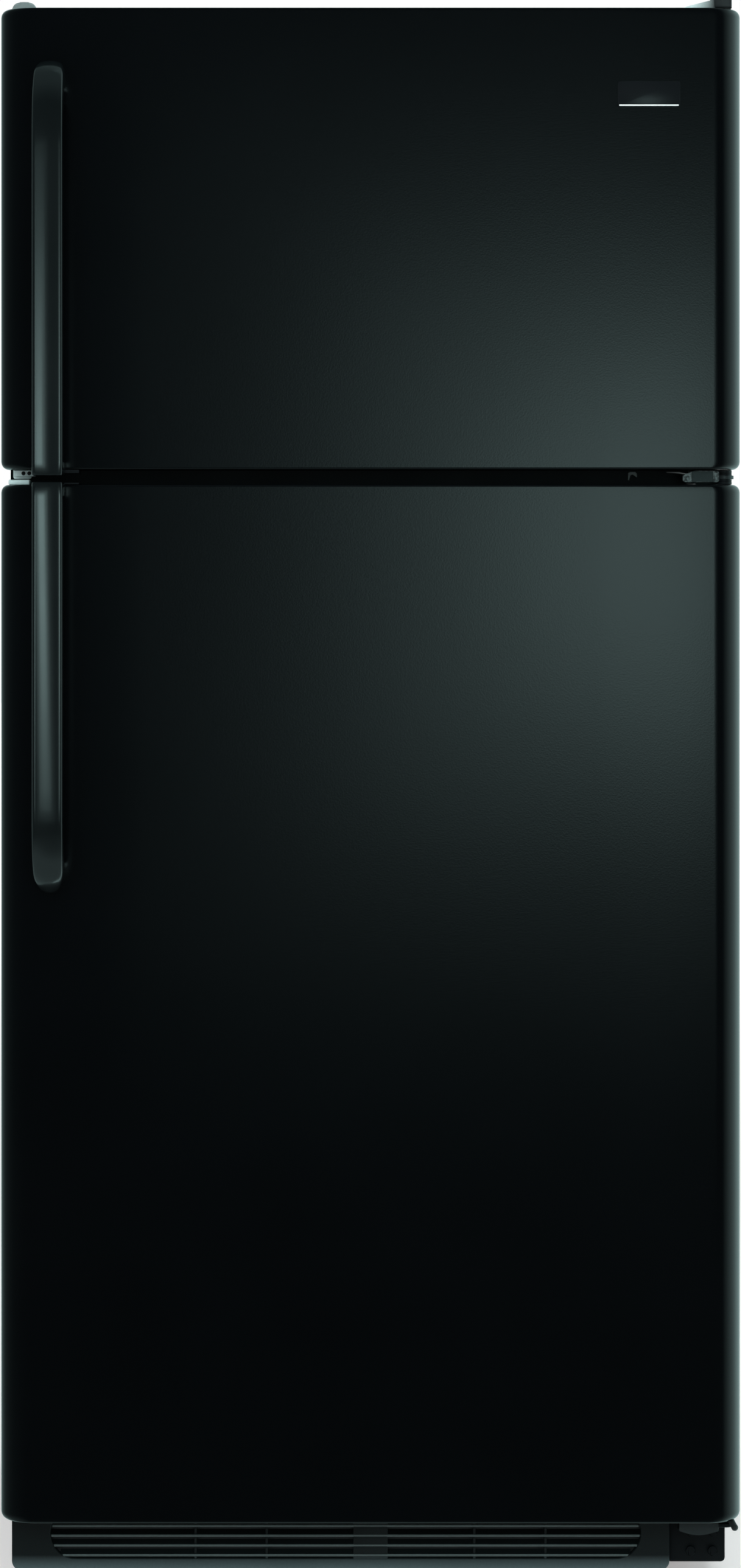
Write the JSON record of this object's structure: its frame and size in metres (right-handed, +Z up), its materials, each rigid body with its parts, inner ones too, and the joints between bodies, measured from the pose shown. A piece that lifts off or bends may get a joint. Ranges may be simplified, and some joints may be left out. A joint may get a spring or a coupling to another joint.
{
  "type": "top freezer refrigerator",
  "caption": "Free-standing top freezer refrigerator with right-hinged doors, bar handles, shelves, crisper drawers, door racks and a louvred toe grille.",
  "frame": {"origin": "on the floor, under the middle of the whole appliance", "axes": "+X to the right seen from the front, -Y out of the doors towards the user, +Z up"},
  "size_m": [0.762, 0.786, 1.66],
  "materials": {
    "black_paint": "semi-gloss textured black enamel",
    "handle_plastic": "moulded black plastic, satin gloss",
    "black_plastic": "moulded black plastic",
    "grille_plastic": "moulded dark grey plastic",
    "plug_plastic": "moulded mid grey plastic",
    "zinc_steel": "zinc plated pressed steel",
    "screw_steel": "plated steel screw heads",
    "foam": "polyurethane foam",
    "white_liner": "vacuum-formed white plastic",
    "white_plastic": "moulded white plastic",
    "rack_plastic": "moulded white plastic",
    "white_wire": "white coated steel wire",
    "coil_metal": "mill finish aluminium tube and fins",
    "dark_metal": "black painted steel",
    "clear_glass": "clear tempered glass",
    "clear_plastic": "clear moulded plastic",
    "lens_plastic": "frosted clear plastic",
    "bulb_glass": "frosted lamp glass",
    "knob_plastic": "moulded dark grey plastic",
    "foot_plastic": "moulded black plastic",
    "gasket_rubber": "soft black vinyl gasket",
    "nameplate_gloss": "gloss black plate with a bright rule"
  },
  "bodies": {
    "cabinet": {"outer_wrap": "black_paint", "rear_panel": "zinc_steel", "base_frame": "zinc_steel", "cabinet_foam": "foam", "freezer_liner": "white_liner", "fresh_food_liner": "white_liner", "mullion_rail": "black_paint", "top_hinge": "zinc_steel", "top_hinge_cover": "black_plastic", "center_hinge": "zinc_steel", "bottom_hinge": "black_paint", "hinge_screws": "screw_steel", "hinge_washers": "white_plastic", "top_corner_cap": "plug_plastic", "center_hole_plugs": "plug_plastic", "toe_grille": "grille_plastic", "evaporator_cover": "white_liner", "evaporator_coil": "coil_metal", "fan_motors": "dark_metal", "freezer_shelf": "white_wire", "shelf_glasses": "clear_glass", "shelf_frames": "white_plastic", "control_housing": "white_plastic", "light_lens": "lens_plastic", "light_bulb": "bulb_glass", "compressor": "dark_metal", "condenser_coil": "dark_metal", "drain_pan": "grille_plastic", "rear_access_cover": "black_plastic", "roller_axles": "zinc_steel"},
    "freezer_door": {"freezer_door_skin": "black_paint", "freezer_door_foam": "foam", "freezer_door_liner": "white_liner", "freezer_door_gasket": "gasket_rubber", "freezer_handle": "handle_plastic", "freezer_door_bushings": "white_plastic", "nameplate": "nameplate_gloss", "freezer_door_racks": "rack_plastic"},
    "fridge_door": {"fridge_door_skin": "black_paint", "fridge_door_foam": "foam", "fridge_door_liner": "white_liner", "fridge_door_gasket": "gasket_rubber", "fridge_handle": "handle_plastic", "fridge_door_bushings": "white_plastic", "fridge_door_racks": "rack_plastic", "fridge_door_stop": "foot_plastic"},
    "evaporator_fan": {"evaporator_fan": "grille_plastic"},
    "condenser_fan": {"condenser_fan": "grille_plastic"},
    "left_crisper": {"left_crisper": "clear_plastic"},
    "right_crisper": {"right_crisper": "clear_plastic"},
    "left_humidity_slide": {"left_humidity_slide": "knob_plastic"},
    "right_humidity_slide": {"right_humidity_slide": "knob_plastic"},
    "temperature_dial": {"temperature_dial": "knob_plastic"},
    "freezer_dial": {"freezer_dial": "knob_plastic"},
    "light_switch": {"light_switch": "white_plastic"},
    "left_roller": {"left_roller": "foot_plastic"},
    "right_roller": {"right_roller": "foot_plastic"},
    "left_leg": {"left_leg": "foot_plastic"},
    "right_leg": {"right_leg": "foot_plastic"},
    "dairy_lid": {"dairy_lid": "clear_plastic"}
  },
  "joints": [
    {"name": "freezer_door_hinge", "type": "hinge", "parent": "cabinet", "child": "freezer_door", "pos_m": [0.365, -0.305, 1.4], "axis": [0, 0, 1], "range_deg": [0, 135]},
    {"name": "fridge_door_hinge", "type": "hinge", "parent": "cabinet", "child": "fridge_door", "pos_m": [0.365, -0.305, 0.6], "axis": [0, 0, 1], "range_deg": [0, 135]},
    {"name": "dairy_lid_hinge", "type": "hinge", "parent": "fridge_door", "child": "dairy_lid", "pos_m": [-0.14, -0.18, 1.044], "axis": [1, 0, 0], "range_deg": [0, 80]},
    {"name": "left_crisper_slide", "type": "slide", "parent": "cabinet", "child": "left_crisper", "axis": [0, -1, 0], "range_m": [0, 0.2025]},
    {"name": "right_crisper_slide", "type": "slide", "parent": "cabinet", "child": "right_crisper", "axis": [0, -1, 0], "range_m": [0, 0.2025]},
    {"name": "left_humidity_slide_travel", "type": "slide", "parent": "cabinet", "child": "left_humidity_slide", "axis": [1, 0, 0], "range_m": [-0.015, 0.015]},
    {"name": "right_humidity_slide_travel", "type": "slide", "parent": "cabinet", "child": "right_humidity_slide", "axis": [1, 0, 0], "range_m": [-0.015, 0.015]},
    {"name": "temperature_dial_turn", "type": "hinge", "parent": "cabinet", "child": "temperature_dial", "pos_m": [-0.08, -0.235, 1.096], "axis": [0, 1, 0], "range_deg": [0, 270]},
    {"name": "freezer_dial_turn", "type": "hinge", "parent": "cabinet", "child": "freezer_dial", "pos_m": [0.08, -0.235, 1.096], "axis": [0, 1, 0], "range_deg": [0, 270]},
    {"name": "light_switch_travel", "type": "slide", "parent": "cabinet", "child": "light_switch", "axis": [0, -1, 0], "range_m": [0, 0.006]},
    {"name": "evaporator_fan_spin", "type": "hinge", "parent": "cabinet", "child": "evaporator_fan", "pos_m": [0, 0.297, 1.487], "axis": [0, 1, 0], "continuous": true},
    {"name": "condenser_fan_spin", "type": "hinge", "parent": "cabinet", "child": "condenser_fan", "pos_m": [0.05, 0.262, 0.14], "axis": [1, 0, 0], "continuous": true},
    {"name": "left_roller_spin", "type": "hinge", "parent": "cabinet", "child": "left_roller", "pos_m": [-0.344, 0.33, 0.025], "axis": [1, 0, 0], "continuous": true},
    {"name": "right_roller_spin", "type": "hinge", "parent": "cabinet", "child": "right_roller", "pos_m": [0.344, 0.33, 0.025], "axis": [1, 0, 0], "continuous": true},
    {"name": "left_leg_screw", "type": "hinge", "parent": "cabinet", "child": "left_leg", "pos_m": [-0.29, -0.222, 0.04], "axis": [0, 0, 1], "range_deg": [-720, 720]},
    {"name": "right_leg_screw", "type": "hinge", "parent": "cabinet", "child": "right_leg", "pos_m": [0.29, -0.222, 0.04], "axis": [0, 0, 1], "range_deg": [-720, 720]}
  ],
  "couplings": [
    {"joint": "left_crisper_slide", "follows": "fridge_door_hinge", "m_per_rad": 0.0859},
    {"joint": "right_crisper_slide", "follows": "fridge_door_hinge", "m_per_rad": 0.0859},
    {"joint": "light_switch_travel", "follows": "fridge_door_hinge", "m_per_rad": 0.0025}
  ]
}
